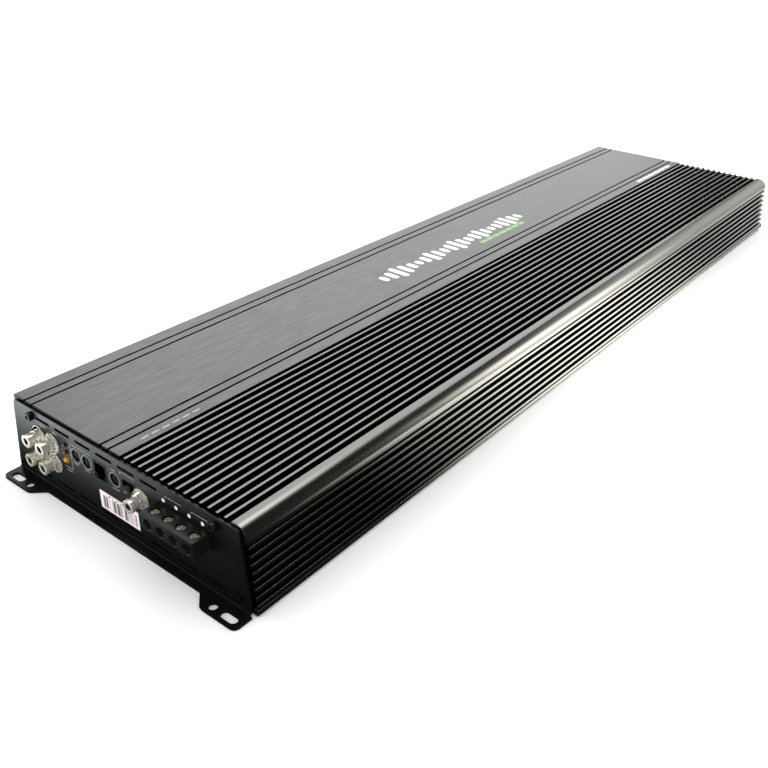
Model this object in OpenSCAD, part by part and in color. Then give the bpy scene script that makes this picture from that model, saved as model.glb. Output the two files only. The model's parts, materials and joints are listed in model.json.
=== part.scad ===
/* [Body] */
// Length of the heatsink extrusion
body_l = 775; // [700:5:900]
// Height from the mounting plane to the fin tips
body_h = 54.3; // [54.3:0.1:60]
// Depth of each top fin
fin_depth = 6.3; // [5:0.1:6.5]
// Width of a top fin at its tip
fin_tip = 1.9; // [1.5:0.1:2.2]
// Width of each groove in the flat top
groove_w = 1.4; // [0.8:0.1:1.8]
// Depth of each groove in the flat top
groove_d = 2.0; // [1:0.1:2.4]
// Thickness of the top wall under the flat
top_wall = 4.0; // [3.6:0.1:4.4]
// Radius of the rounded nose along the finned edge
nose_r = 9.0; // [8.6:0.1:9.2]

/* [End panels] */
// Sheet thickness of the panels and feet
sheet = 1.6; // [1.4:0.1:1.8]
// Distance the ears stand out from the extrusion
ear_reach = 15.0; // [14.6:0.1:18]
// Width of each slotted hole in the ears
ear_slot_w = 5.2; // [4.2:0.1:5.6]
// End to end length of each slotted hole
ear_slot_l = 11.0; // [8:0.5:12]
// Radius of the round hole beside each slot
ear_hole_r = 2.5; // [2:0.1:2.8]
// Height of each vent slot
vent_h = 1.8; // [1.4:0.1:2.2]

/* [Jacks and controls] */
// Outside radius of the jack barrels
jack_r = 4.15; // [4.1:0.05:4.2]
// Spacing of the four input jacks
jack_pitch = 13.4; // [13.2:0.1:14]
// Reach of the jack barrels from the extrusion end
jack_reach = 11.0; // [10:0.5:13]
// Radius of the recessed control rotors
rotor_r = 3.0; // [2.6:0.1:3.1]
// Running clearance of every turning piece in its bore
run_gap = 0.05; // [0.03:0.01:0.08]

/* [Terminals] */
// Radius of the speaker wire holes
speaker_wire_r = 2.1; // [1.8:0.1:2.1]
// Spacing of the speaker terminals
speaker_pitch = 10.13; // [10.1:0.01:10.2]
// Radius of the supply and ground wire holes
supply_wire_r = 5.2; // [4.5:0.1:5.2]

/* [Inside] */
// Height of the main board's underside
board_z = 13.0; // [12.6:0.1:13.2]
// Number of power transistors along each side
transistors = 12; // [8:1:14]

/* [Hidden] */
$fn = 48;
e = 0.01;                       // overshoot of a cutting shape
end_x = body_l / 2;
half_w = 105;                   // half of the width at the foot
base_z = 2.0;                   // underside of the extrusion walls
cover_gap = 0.4;                // cover stands clear of the mounting plane
cavity_l = 96.5;                // inner face of the plain side wall
cavity_r = -92;                 // inner face of the finned side wall
root_z = body_h - fin_depth;
roof_z = root_z - 3.2;
fin_pitch = 6.035;
fin_y0 = -5.6;
fin_count = 14;
grooves = [88.2, 80.8, 15.3, 8.3];
side_top = body_h - 11.9;
side_pitch = (side_top - 6.7) / 7;
side_lean = 0.108;
rib_tip = 2.1;                  // thickness of a side rib at its tip
rib_root = 2.7;
boss_r = 3.2;                   // screw channels run the whole length
panel_top = body_h - 1.9;
face_x = -sheet;
vent_z = panel_top - 4.8;
vent_low_z = 7.4;
screw_top_z = body_h - 7.1;
screw_low_z = 8.5;
panel_screw_yz = [[80.6, screw_top_z], [-78, screw_top_z], [95.3, screw_low_z], [-92, screw_low_z]];
bend_r = 1.0;                   // inside radius of the foot bend
ear_slot_x = -10;
ear_slot_y = 93.7;
ear_hole_y = 81.6;
jack_stem_r = 3.65;             // barrel behind the collar
jack_collar = 2.2;              // length of the collar at the tip
jack_flange_r = 6.6;
jack_lip = 0.8;                 // the collar turns inwards by its front face
jack_lip_r = 2.3;
jack_bore_r = 2.9;
contact_r = 2.1;
contact_bore_r = 1.65;          // takes the centre pin of a line plug
jack_y = 74.9;
jack_z = 36.0;
link_y = -19.5;
link_z = 34.8;
lamp_y = 48;
lamp_z = [30.8, 35.9, 41];
lamp_r = 1.95;
small_lamp_r = 1.35;
rotor_y = [39, 28.9, 3.5];
rotor_z = 36.9;
port_y = 16.3;
port_z = 36.8;
switch_y = -8.0;
switch_z = 38.4;
speaker_y0 = -38.3;
speaker_x = -7.2;
speaker_z = 34.2;
speaker_screw_z = 36.9;         // underside of a set screw when it is backed out
block_top = 40.2;
block_front = -13.2;
supply_y = 30;
ground_y = 4;
trigger_y = -18;
supply_z = 23.5;
trigger_z = 25.0;
power_x = -5.5;
clamp_front = -11.6;            // clamp bodies lie just behind the block's face
speaker_clamp_end = 4.0;
trigger_clamp_end = 7.0;
supply_clamp_end = 11.5;
cell_gap = 0.05;                // clamp bodies sit in their cells with this gap
small_clamp = 4;                // half of the width of a speaker or remote clamp body
large_clamp = 8;                // half of the width of a supply or ground clamp body
deck_z = board_z + 1.6;         // top of the main board
control_z = 23.0;               // underside of the control board
transistor_span = 2 * end_x - 160;

// Profile drawn in Y and Z, extended along X from x0 to x1.
module along_x(x0, x1) {
  translate([x0, 0, 0]) rotate([90, 0, 90]) linear_extrude(height = x1 - x0) children();
}

// Round bar along X.
module rod_x(x0, x1, y, z, r, n = 48) {
  translate([x0, y, z]) rotate([0, 90, 0]) cylinder(h = x1 - x0, r = r, $fn = n);
}

module box(a, b) {
  translate(a) cube(b - a);
}

// Round-ended opening through a panel, long side along Y.
module vent(y, z, len, h, x0, x1) {
  box([x0, y - len / 2 + h / 2, z - h / 2], [x1, y + len / 2 - h / 2, z + h / 2]);
  rod_x(x0, x1, y - len / 2 + h / 2, z, h / 2, 24);
  rod_x(x0, x1, y + len / 2 - h / 2, z, h / 2, 24);
}

module near_end() {
  translate([-end_x, 0, 0]) children();
}

module far_end() {
  translate([end_x, 0, 0]) mirror([1, 0, 0]) children();
}

function side_tip(z) = -(100.6 + side_lean * (side_top - z));

// Heatsink: one extrusion open underneath, flat and finned on top, finned down one side.
module heatsink_profile() {
  flat = [for (g = grooves, k = [0:3])
    [g + (k < 2 ? groove_w : -groove_w) / 2, k == 0 || k == 3 ? body_h : body_h - groove_d]];
  fins = [for (i = [0:fin_count - 1], k = [0:3])
    [fin_y0 - i * fin_pitch + (k < 2 ? 1 : -1) * (k == 0 || k == 3 ? 1.3 : fin_tip / 2),
     k == 0 || k == 3 ? root_z : body_h]];
  ribs = [for (i = [0:7], k = [0:3])
    let (z = side_top - i * side_pitch)
    [k == 0 || k == 3 ? side_tip(z) + 5 : side_tip(z),
     z + (k < 2 ? 1 : -1) * (k == 0 || k == 3 ? rib_root : rib_tip) / 2]];
  polygon(concat(
    [[cavity_l, base_z], [half_w - 0.8, base_z], [half_w, base_z + 0.8],
     [100, body_h - 0.6], [99.4, body_h]],
    flat,
    [[-1.8, body_h], [-1.8, root_z]],
    fins,
    [[-88.2, root_z], [-88.2, body_h - 0.8], [-89, body_h], [-91.2, body_h],
     [-91.2, body_h - nose_r], [-95.8, body_h - nose_r - 0.6]],
    ribs,
    [[-99.9, 4.6], [-half_w + 0.7, 4.6], [-half_w, 3.9], [-half_w, base_z + 0.7],
     [-half_w + 0.7, base_z], [cavity_r, base_z], [cavity_r, roof_z], [-3, roof_z],
     [1.4, body_h - top_wall], [cavity_l, body_h - top_wall]]));
}

module nose_profile() {
  intersection() {
    translate([-91.2, body_h - nose_r]) circle(r = nose_r, $fn = 96);
    translate([-91.2 - nose_r - 1, body_h - nose_r - 0.6]) square([nose_r + 1.2, nose_r + 2]);
  }
}

// Screw channel along the extrusion, level with the fin roots where it lies under them.
module screw_channel(y, z, top) {
  intersection() {
    rod_x(-end_x, end_x, y, z, boss_r);
    box([-end_x - e, y - boss_r - e, 0], [end_x + e, y + boss_r + e, top]);
  }
}

module heatsink_body() {
  color([0.12, 0.13, 0.14])
  difference() {
    union() {
      along_x(-end_x, end_x) heatsink_profile();
      along_x(-end_x, end_x) nose_profile();
      for (p = panel_screw_yz) screw_channel(p[0], p[1], p[0] < 0 ? root_z : body_h - 1);
    }
    for (p = panel_screw_yz) {
      rod_x(-end_x - e, -end_x + 14, p[0], p[1], 1.5);
      rod_x(end_x - 14, end_x + e, p[0], p[1], 1.5);
    }
    for (p = cover_screw_xy) translate([p[0], p[1], base_z - e]) cylinder(h = 10, r = 1.5, $fn = 24);
    for (x = clamp_x) {
      translate([x, cavity_l - e, 30]) rotate([-90, 0, 0]) cylinder(h = 2.5, r = 1.5, $fn = 24);
      translate([x, cavity_r + e, 30]) rotate([90, 0, 0]) cylinder(h = 2.5, r = 1.5, $fn = 24);
    }
  }
}

// End panel: flat plate, a bend at the bottom, and a foot with an ear at each side.
module panel_plate() {
  along_x(-sheet, 0) polygon([[104.5, sheet + bend_r], [98.4, panel_top - 3], [97.6, panel_top - 0.9],
    [95.4, panel_top], [-93.2, panel_top], [-95.2, panel_top - 0.9], [-95.9, panel_top - 3],
    [-100.4, sheet + bend_r]]);
}

module foot_outline() {
  polygon([[-sheet - bend_r, 103.4], [-ear_reach + 3.4, 103.4], [-ear_reach + 1, 102.4],
    [-ear_reach, 100.2], [-ear_reach, 78.2], [-ear_reach + 0.8, 75.6], [-7, 68],
    [-7, -68], [-ear_reach + 0.8, -75.6], [-ear_reach, -78.2], [-ear_reach, -99.4],
    [-ear_reach + 1, -101.6], [-ear_reach + 3.4, -102.6], [-sheet - bend_r, -102.6]]);
}

module foot_bend() {
  translate([-sheet - bend_r, 104.2, sheet + bend_r]) rotate([90, 0, 0])
  linear_extrude(height = 104.2 + 100.4) intersection() {
    difference() {
      circle(r = sheet + bend_r, $fn = 48);
      circle(r = bend_r, $fn = 48);
    }
    translate([0, -sheet - bend_r - 1]) square([sheet + bend_r + 1, sheet + bend_r + 1]);
  }
}

module ear_holes() {
  for (s = [-1, 1]) {
    translate([ear_slot_x, s * ear_slot_y, -e]) {
      box([-ear_slot_w / 2, -(ear_slot_l - ear_slot_w) / 2, 0],
          [ear_slot_w / 2, (ear_slot_l - ear_slot_w) / 2, sheet + 2 * e]);
      for (t = [-1, 1]) translate([0, t * (ear_slot_l - ear_slot_w) / 2, 0])
        cylinder(h = sheet + 2 * e, r = ear_slot_w / 2, $fn = 32);
    }
    translate([ear_slot_x, s * ear_hole_y, -e]) cylinder(h = sheet + 2 * e, r = ear_hole_r, $fn = 32);
  }
}

module blank_panel() {
  difference() {
    union() {
      panel_plate();
      foot_bend();
      linear_extrude(height = sheet) foot_outline();
    }
    ear_holes();
    for (i = [0:7]) vent(1.3 + 21.75 * (3.5 - i), vent_low_z, 16.5, vent_h, -sheet - e, e);
    for (p = panel_screw_yz) rod_x(-sheet - e, e, p[0], p[1], 1.65, 24);
  }
}

module control_panel() {
  color([0.1, 0.1, 0.11]) near_end() difference() {
    blank_panel();
    for (i = [0:5]) vent(21.3 + 19.24 * (2.5 - i), vent_z, 14.3, vent_h, -sheet - e, e);
    for (p = jack_yz) rod_x(-sheet - e, e, p[0], p[1], 4.9);
    rod_x(-sheet - e, e, link_y, link_z, 4.9);
    rod_x(-sheet - e, e, lamp_y, lamp_z[0], lamp_r + 0.1, 32);
    for (k = [1, 2]) rod_x(-sheet - e, e, lamp_y, lamp_z[k], small_lamp_r + 0.1, 32);
    for (y = rotor_y) rod_x(-sheet - e, e, y, rotor_z, 3.5, 32);
    box([-sheet - e, port_y - 5.5, port_z - 5.9], [e, port_y + 5.5, port_z + 5.9]);
    box([-sheet - e, switch_y - 4.6, switch_z - 2.4], [e, switch_y + 4.6, switch_z + 2.4]);
    box([-sheet - e, speaker_low - 0.1, 29.5], [e, speaker_high + 0.1, block_top + 0.1]);
  }
}

module power_panel() {
  color([0.1, 0.1, 0.11]) far_end() difference() {
    blank_panel();
    for (i = [0:7]) vent(1.3 + 19.24 * (3.5 - i), vent_z, 14.3, vent_h, -sheet - e, e);
    box([-sheet - e, trigger_y - 8.1, 15.4], [e, supply_y + 14.1, 32.1]);
    box([-sheet - e, ground_y - 11.1, 15.4], [e, supply_y + 14.1, 38.1]);
  }
}

// Bottom cover: a flat sheet under the extrusion walls.
cover_screw_xy = [for (i = [0:5], y = [100.6, -96.2]) [(i - 2.5) * (2 * end_x - 60) / 5, y]];
standoff_xy = [for (x = [-end_x + 34, -125, 125, end_x - 34], y = [-70, 78]) [x, y]];

module bottom_cover() {
  color([0.08, 0.08, 0.08]) difference() {
    box([-end_x + 0.3, -half_w + 1.2, cover_gap], [end_x - 0.3, half_w - 1.2, base_z]);
    for (p = cover_screw_xy) translate([p[0], p[1], cover_gap - e]) {
      cylinder(h = 3, r = 1.65, $fn = 24);
      cylinder(h = 1.55, r1 = 3.1, r2 = 1.65, $fn = 24);
    }
  }
}

// Countersunk screws that hold the bottom cover.
module cover_screws() {
  color([0.15, 0.15, 0.15])
  for (p = cover_screw_xy) translate([p[0], p[1], cover_gap]) difference() {
    union() {
      cylinder(h = 1.5, r1 = 3.0, r2 = 1.48, $fn = 24);
      cylinder(h = 8.5, r = 1.48, $fn = 24);
    }
    translate([0, 0, -e]) cylinder(h = 0.9, r = 1.1, $fn = 6);
  }
}

// Socket head screws through the end panels into the extrusion.
module panel_screw() {
  difference() {
    union() {
      rod_x(face_x - 3, face_x, 0, 0, 2.75, 32);
      rod_x(face_x - 0.5, 9, 0, 0, 1.48, 24);
    }
    rod_x(face_x - 3 - e, face_x - 1.5, 0, 0, 1.45, 6);
  }
}

module panel_screws() {
  color([0.05, 0.05, 0.05]) for (p = panel_screw_yz) {
    near_end() translate([0, p[0], p[1]]) panel_screw();
    far_end() translate([0, p[0], p[1]]) panel_screw();
  }
}

// Circuit boards and the posts under them.
module main_board() {
  color([0.02, 0.2, 0.1]) difference() {
    box([-end_x + 2, -89.5, board_z], [end_x - 2, 94, deck_z]);
    for (p = standoff_xy) translate([p[0], p[1], board_z - e]) cylinder(h = 2, r = 1.7, $fn = 24);
  }
}

module board_standoffs() {
  color([0.7, 0.7, 0.68]) for (p = standoff_xy) translate([p[0], p[1], base_z]) difference() {
    cylinder(h = board_z - base_z, r = 3.2, $fn = 6);
    translate([0, 0, 3]) cylinder(h = board_z - base_z, r = 1.5, $fn = 24);
  }
}

module board_screws() {
  color([0.7, 0.7, 0.68]) for (p = standoff_xy) translate([p[0], p[1], board_z - 5]) difference() {
    union() {
      cylinder(h = 7, r = 1.48, $fn = 24);
      translate([0, 0, 6.6]) cylinder(h = 2, r = 2.8, $fn = 32);
    }
    translate([0, 0, 7.8]) box([-2, -0.35, 0], [2, 0.35, 1]);
    translate([0, 0, 7.8]) box([-0.35, -2, 0], [0.35, 2, 1]);
  }
}

module control_board() {
  color([0.02, 0.2, 0.1]) near_end() box([2, -27, control_z], [42, 54, control_z + 1.6]);
}

module control_board_posts() {
  color([0.7, 0.7, 0.68]) near_end() for (y = [-22, 18, 49])
    translate([38, y, deck_z]) cylinder(h = control_z - deck_z, r = 2.5, $fn = 6);
}

// Line jacks: plated shell, plastic insulator and plated centre socket.
jack_yz = [for (i = [0, 1], k = [0, 1]) [jack_y - i * jack_pitch, jack_z - k * jack_pitch]];

module jack_shell() {
  difference() {
    union() {
      rod_x(face_x - 0.9, face_x, 0, 0, jack_flange_r, 64);
      rod_x(face_x - 3.4, face_x - 0.8, 0, 0, 4.7, 6);
      rod_x(-jack_reach, -jack_reach + jack_collar, 0, 0, jack_r, 48);
      rod_x(-jack_reach + jack_collar - e, 3, 0, 0, jack_stem_r, 48);
    }
    rod_x(-jack_reach - e, -jack_reach + jack_lip + e, 0, 0, jack_lip_r, 48);
    rod_x(-jack_reach + jack_lip, 3 + e, 0, 0, jack_bore_r, 48);
    for (a = [0:90:270]) rotate([a, 0, 0])
      box([face_x - 0.9 - e, -2.1, 5.0], [face_x + e, 2.1, 5.9]);
  }
}

module jack_insulator() {
  difference() {
    rod_x(-jack_reach + jack_lip + 0.05, 3, 0, 0, jack_bore_r - 0.04, 48);
    rod_x(-jack_reach, 3 + e, 0, 0, contact_r + 0.04, 32);
  }
}

module jack_contact() {
  difference() {
    rod_x(-jack_reach + 1.4, 3, 0, 0, contact_r, 32);
    rod_x(-jack_reach, 2, 0, 0, contact_bore_r, 32);
  }
}

module input_jack_shells() {
  color([0.82, 0.78, 0.66]) near_end() for (p = jack_yz) translate([0, p[0], p[1]]) jack_shell();
}

module input_jack_insulators() {
  color([0.35, 0.05, 0.04]) near_end() for (p = jack_yz) translate([0, p[0], p[1]]) jack_insulator();
}

module input_jack_contacts() {
  color([0.8, 0.7, 0.45]) near_end() for (p = jack_yz) translate([0, p[0], p[1]]) jack_contact();
}

module input_jack_block() {
  color([0.04, 0.04, 0.04]) near_end() difference() {
    box([0.1, jack_y - jack_pitch - 6.4, deck_z], [16, jack_y + 6.4, jack_z + 6.4]);
    for (p = jack_yz) rod_x(0, 3, p[0], p[1], jack_stem_r + 0.05);
  }
}

module link_jack_shell() {
  color([0.82, 0.78, 0.66]) near_end() translate([0, link_y, link_z]) jack_shell();
}

module link_jack_insulator() {
  color([0.35, 0.05, 0.04]) near_end() translate([0, link_y, link_z]) jack_insulator();
}

module link_jack_contact() {
  color([0.8, 0.7, 0.45]) near_end() translate([0, link_y, link_z]) jack_contact();
}

module link_jack_block() {
  color([0.04, 0.04, 0.04]) near_end() difference() {
    box([0.1, link_y - 6.3, control_z + 1.6], [14, link_y + 6.1, link_z + 6.3]);
    rod_x(0, 3, link_y, link_z, jack_stem_r + 0.05);
  }
}

// Indicator lamps and the block that carries them.
module lamp(z, r) {
  near_end() {
    rod_x(face_x - 0.6, 6, lamp_y, z, r, 32);
    translate([face_x - 0.6, lamp_y, z]) sphere(r = r * 0.999, $fn = 32);
  }
}

module power_lamp() {
  color([0.9, 0.55, 0.08]) lamp(lamp_z[0], lamp_r);
}

module protect_lamp() {
  color([0.45, 0.03, 0.03]) lamp(lamp_z[1], small_lamp_r);
}

module clip_lamp() {
  color([0.2, 0.18, 0.18]) lamp(lamp_z[2], small_lamp_r);
}

module lamp_holder() {
  color([0.04, 0.04, 0.04]) near_end() difference() {
    box([0.6, lamp_y - 3.2, control_z + 1.6], [9, lamp_y + 3.2, lamp_z[2] + 2.6]);
    rod_x(0, 6, lamp_y, lamp_z[0], lamp_r + 0.03, 32);
    for (k = [1, 2]) rod_x(0, 6, lamp_y, lamp_z[k], small_lamp_r + 0.03, 32);
  }
}

// Recessed rotary controls turned with a screwdriver.
module rotor(y) {
  near_end() translate([0, y, rotor_z]) difference() {
    union() {
      rod_x(face_x + 0.8, 3.6, 0, 0, rotor_r, 48);
      rod_x(3.5, 7, 0, 0, 1.5, 32);
    }
    box([face_x, -0.45, -rotor_r - 1], [face_x + 2, 0.45, rotor_r + 1]);
  }
}

module gain_rotor() {
  color([0.06, 0.06, 0.06]) rotor(rotor_y[0]);
}

module filter_rotor() {
  color([0.06, 0.06, 0.06]) rotor(rotor_y[1]);
}

module boost_rotor() {
  color([0.06, 0.06, 0.06]) rotor(rotor_y[2]);
}

module control_pot_bodies() {
  color([0.55, 0.56, 0.58]) near_end() for (y = rotor_y) difference() {
    box([0.6, y - 4.7, control_z + 1.6], [10, y + 4.7, rotor_z + 4.9]);
    rod_x(0, 3.65, y, rotor_z, rotor_r + run_gap);
    rod_x(3, 7.4, y, rotor_z, 1.5 + run_gap, 32);
  }
}

// Modular socket for the wired remote.
module remote_port_shell() {
  color([0.03, 0.03, 0.03]) near_end() difference() {
    union() {
      box([face_x - 0.4, port_y - 5.4, port_z - 5.8], [1, port_y + 5.4, port_z + 5.8]);
      box([0.6, port_y - 6.2, control_z + 1.6], [14.5, port_y + 6.2, port_z + 6.2]);
    }
    box([face_x - 1, port_y - 4.6, port_z - 2.2], [11.5, port_y + 4.6, port_z + 4.8]);
    box([face_x - 1, port_y - 3.1, port_z - 3.6], [8, port_y + 3.1, port_z - 2.1]);
    box([face_x - 1, port_y - 1.7, port_z - 5.0], [8, port_y + 1.7, port_z - 3.5]);
  }
}

module remote_port_contacts() {
  color([0.85, 0.7, 0.35]) near_end() for (i = [0:5])
    translate([0, port_y + (i - 2.5) * 1.02, 0]) {
      box([1, -0.22, port_z + 4.2], [11.5, 0.22, port_z + 4.65]);
      box([1, -0.22, port_z + 3.3], [1.45, 0.22, port_z + 4.65]);
    }
}

// Two-position slide switch behind its window.
module slide_switch_case() {
  color([0.5, 0.5, 0.52]) near_end() difference() {
    box([0.4, switch_y - 5.0, control_z + 1.6], [7, switch_y + 5.0, switch_z + 3.2]);
    box([0, switch_y - 4.4, switch_z - 2.2], [4.6, switch_y + 4.4, switch_z + 2.2]);
  }
}

module slide_switch_lever() {
  color([0.04, 0.04, 0.04]) near_end() {
    box([0.8, switch_y - 4.2, switch_z - 2.0], [4.4, switch_y + 0.2, switch_z + 2.0]);
    box([face_x - 2.0, switch_y - 4.2, switch_z - 1.9], [1, switch_y - 0.8, switch_z + 1.9]);
  }
}

// Speaker terminals: moulded block, plated clamp bodies, set screws and pressure pads.
speaker_low = speaker_y0 - 3.5 * speaker_pitch;
speaker_high = speaker_y0 + 0.5 * speaker_pitch;

// A clamp body, or with a gap the cell that it sits in.
module clamp_box(x1, y, half, z0, z1, gap) {
  box([clamp_front - gap, y - half - gap, z0 - gap], [x1 + gap, y + half + gap, z1 + gap]);
}

module speaker_terminal_block() {
  color([0.04, 0.04, 0.04]) near_end() difference() {
    union() {
      box([block_front, speaker_low, 29.6], [0, speaker_high, block_top]);
      box([0, speaker_low, 29.6], [12, speaker_high, block_top]);
      box([1, speaker_low, deck_z], [12, speaker_high, 29.7]);
    }
    for (i = [0:3]) {
      y = speaker_y0 - i * speaker_pitch;
      clamp_box(speaker_clamp_end, y, small_clamp, 30.4, 38.6, cell_gap);
      translate([block_front - e, y, speaker_z]) rotate([0, 90, 0])
        cylinder(h = 1.7, r1 = speaker_wire_r + 1, r2 = speaker_wire_r + 0.5, $fn = 48);
      translate([speaker_x, y, 38]) cylinder(h = 3, r = 3.1, $fn = 48);
    }
  }
}

module speaker_clamp_bodies() {
  color([0.75, 0.68, 0.5]) near_end() for (i = [0:3]) {
    y = speaker_y0 - i * speaker_pitch;
    difference() {
      clamp_box(speaker_clamp_end, y, small_clamp, 30.4, 38.6, 0);
      rod_x(clamp_front - e, speaker_clamp_end + e, y, speaker_z, speaker_wire_r);
      translate([speaker_x, y, speaker_z + 0.25]) cylinder(h = 5, r = 2.5 + run_gap, $fn = 48);
    }
  }
}

module set_screw(r, z0, z1) {
  difference() {
    translate([0, 0, z0]) cylinder(h = z1 - z0, r = r, $fn = 48);
    translate([0, 0, z1 - r * 0.4]) box([-r - 1, -r * 0.16, 0], [r + 1, r * 0.16, r]);
    translate([0, 0, z1 - r * 0.4]) box([-r * 0.16, -r * 0.7, 0], [r * 0.16, r * 0.7, r]);
  }
}

module speaker_screw(i) {
  color([0.85, 0.78, 0.6]) near_end() translate([speaker_x, speaker_y0 - i * speaker_pitch, 0])
    set_screw(2.5, speaker_screw_z, speaker_screw_z + 1.8);
}

module speaker_screw_1() {
  speaker_screw(0);
}

module speaker_screw_2() {
  speaker_screw(1);
}

module speaker_screw_3() {
  speaker_screw(2);
}

module speaker_screw_4() {
  speaker_screw(3);
}

module speaker_pad(i) {
  color([0.7, 0.7, 0.7]) near_end() translate([speaker_x, speaker_y0 - i * speaker_pitch, speaker_screw_z - 0.55])
    cylinder(h = 0.55, r = 1.6, $fn = 32);
}

module speaker_pad_1() {
  speaker_pad(0);
}

module speaker_pad_2() {
  speaker_pad(1);
}

module speaker_pad_3() {
  speaker_pad(2);
}

module speaker_pad_4() {
  speaker_pad(3);
}

// Supply, ground and remote terminals at the other end.
module power_terminal_block() {
  color([0.04, 0.04, 0.04]) far_end() difference() {
    union() {
      box([-13, ground_y - 11, 15.5], [14, supply_y + 14, 38]);
      box([-13, trigger_y - 8, 15.5], [14, ground_y - 10, 32]);
      box([2, trigger_y - 8, deck_z], [14, supply_y + 14, 16]);
    }
    for (y = [ground_y, supply_y]) {
      clamp_box(supply_clamp_end, y, large_clamp, 16.5, 35, cell_gap);
      rod_x(-13 - e, -11, y, supply_z, supply_wire_r + 0.5);
      translate([power_x, y, 34]) cylinder(h = 5, r = 4.8, $fn = 48);
    }
    clamp_box(trigger_clamp_end, trigger_y, small_clamp, 20.5, 30, cell_gap);
    rod_x(-13 - e, -11, trigger_y, trigger_z, speaker_wire_r + 0.4);
    translate([power_x, trigger_y, 29]) cylinder(h = 4, r = 3.1, $fn = 48);
  }
}

module power_clamp_bodies() {
  color([0.75, 0.68, 0.5]) far_end() {
    for (y = [ground_y, supply_y]) difference() {
      clamp_box(supply_clamp_end, y, large_clamp, 16.5, 35, 0);
      rod_x(clamp_front - e, 10, y, supply_z, supply_wire_r);
      translate([power_x, y, supply_z]) cylinder(h = 12, r = 4 + run_gap, $fn = 48);
    }
    difference() {
      clamp_box(trigger_clamp_end, trigger_y, small_clamp, 20.5, 30, 0);
      rod_x(clamp_front - e, trigger_clamp_end + e, trigger_y, trigger_z, speaker_wire_r);
      translate([power_x, trigger_y, trigger_z + 0.25]) cylinder(h = 6, r = 2.5 + run_gap, $fn = 48);
    }
  }
}

module supply_screw() {
  color([0.85, 0.78, 0.6]) far_end() translate([power_x, supply_y, 0]) set_screw(4, 30.2, 36.4);
}

module ground_screw() {
  color([0.85, 0.78, 0.6]) far_end() translate([power_x, ground_y, 0]) set_screw(4, 30.2, 36.4);
}

module remote_screw() {
  color([0.85, 0.78, 0.6]) far_end() translate([power_x, trigger_y, 0]) set_screw(2.5, 27.9, 31.2);
}

module supply_pad() {
  color([0.7, 0.7, 0.7]) far_end() translate([power_x, supply_y, 29])
    cylinder(h = 1.2, r = 3.2, $fn = 32);
}

module ground_pad() {
  color([0.7, 0.7, 0.7]) far_end() translate([power_x, ground_y, 29])
    cylinder(h = 1.2, r = 3.2, $fn = 32);
}

module remote_pad() {
  color([0.7, 0.7, 0.7]) far_end() translate([power_x, trigger_y, 27.3])
    cylinder(h = 0.6, r = 1.6, $fn = 32);
}

// Parts on the main board.
module supply_capacitors() {
  color([0.05, 0.05, 0.12]) for (i = [0:5], y = [-50, -28, 50])
    translate([end_x - 50 - i * 22, y, deck_z]) cylinder(h = 28, r = 9, $fn = 48);
}

module rail_capacitors() {
  color([0.05, 0.05, 0.12]) for (i = [0:3], y = [-52, -24, 4, 32])
    translate([-60 - i * 28, y, deck_z]) cylinder(h = 27, r = 11, $fn = 48);
}

module ring_coil(x, y, ring_r, wire_r) {
  translate([x, y, deck_z + wire_r]) rotate_extrude($fn = 96) translate([ring_r, 0]) circle(r = wire_r, $fn = 48);
}

module transformers() {
  color([0.55, 0.28, 0.1]) for (i = [0:2]) ring_coil(200 - i * 80, 10, 22, 11);
}

module output_coils() {
  color([0.55, 0.28, 0.1]) for (i = [0:1]) ring_coil(-235 - i * 62, 10, 17, 9);
}

transistor_pitch = transistor_span / transistors;
transistor_x = [for (i = [0:transistors - 1]) (i - (transistors - 1) / 2) * transistor_pitch];
clamp_x = [for (i = [0:transistors - 2]) (i - (transistors - 2) / 2) * transistor_pitch];

module transistor_row(y, s) {
  for (x = transistor_x) {
    box([x - 8, min(y, y - s * 5), 17.5], [x + 8, max(y, y - s * 5), 38.5]);
    for (k = [-1:1]) translate([x + k * 5.4, y - s * 3, deck_z]) box([-0.6, -0.3, 0], [0.6, 0.3, 3]);
  }
}

module power_transistors() {
  color([0.03, 0.03, 0.03]) {
    transistor_row(cavity_l - 0.3, 1);
    transistor_row(cavity_r + 0.3, -1);
  }
}

module transistor_pads() {
  color([0.6, 0.6, 0.55]) for (x = transistor_x) {
    box([x - 8.5, cavity_l - 0.3, 17], [x + 8.5, cavity_l, 39]);
    box([x - 8.5, cavity_r, 17], [x + 8.5, cavity_r + 0.3, 39]);
  }
}

module clamp_bars() {
  reach = transistor_span / 2;
  color([0.6, 0.6, 0.6]) difference() {
    union() {
      box([-reach, cavity_l - 9.3, 26], [reach, cavity_l - 5.3, 34]);
      box([-reach, cavity_r + 5.3, 26], [reach, cavity_r + 9.3, 34]);
    }
    for (x = clamp_x) {
      translate([x, cavity_l - 10, 30]) rotate([-90, 0, 0]) cylinder(h = 6, r = 1.7, $fn = 24);
      translate([x, cavity_r + 10, 30]) rotate([90, 0, 0]) cylinder(h = 6, r = 1.7, $fn = 24);
    }
  }
}

module clamp_screw() {
  rotate([-90, 0, 0]) {
    translate([0, 0, -2.4]) cylinder(h = 2.4, r = 2.8, $fn = 32);
    translate([0, 0, -0.5]) cylinder(h = 11.7, r = 1.48, $fn = 24);
  }
}

module clamp_screws() {
  color([0.3, 0.3, 0.3]) for (x = clamp_x) {
    translate([x, cavity_l - 9.3, 30]) clamp_screw();
    translate([x, cavity_r + 9.3, 30]) rotate([0, 0, 180]) clamp_screw();
  }
}

// Paper label stuck on the control panel.
module serial_label() {
  color([0.93, 0.88, 0.88]) near_end() box([face_x - 0.15, -14.5, 10.5], [face_x, 19.9, 22.9]);
}

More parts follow.
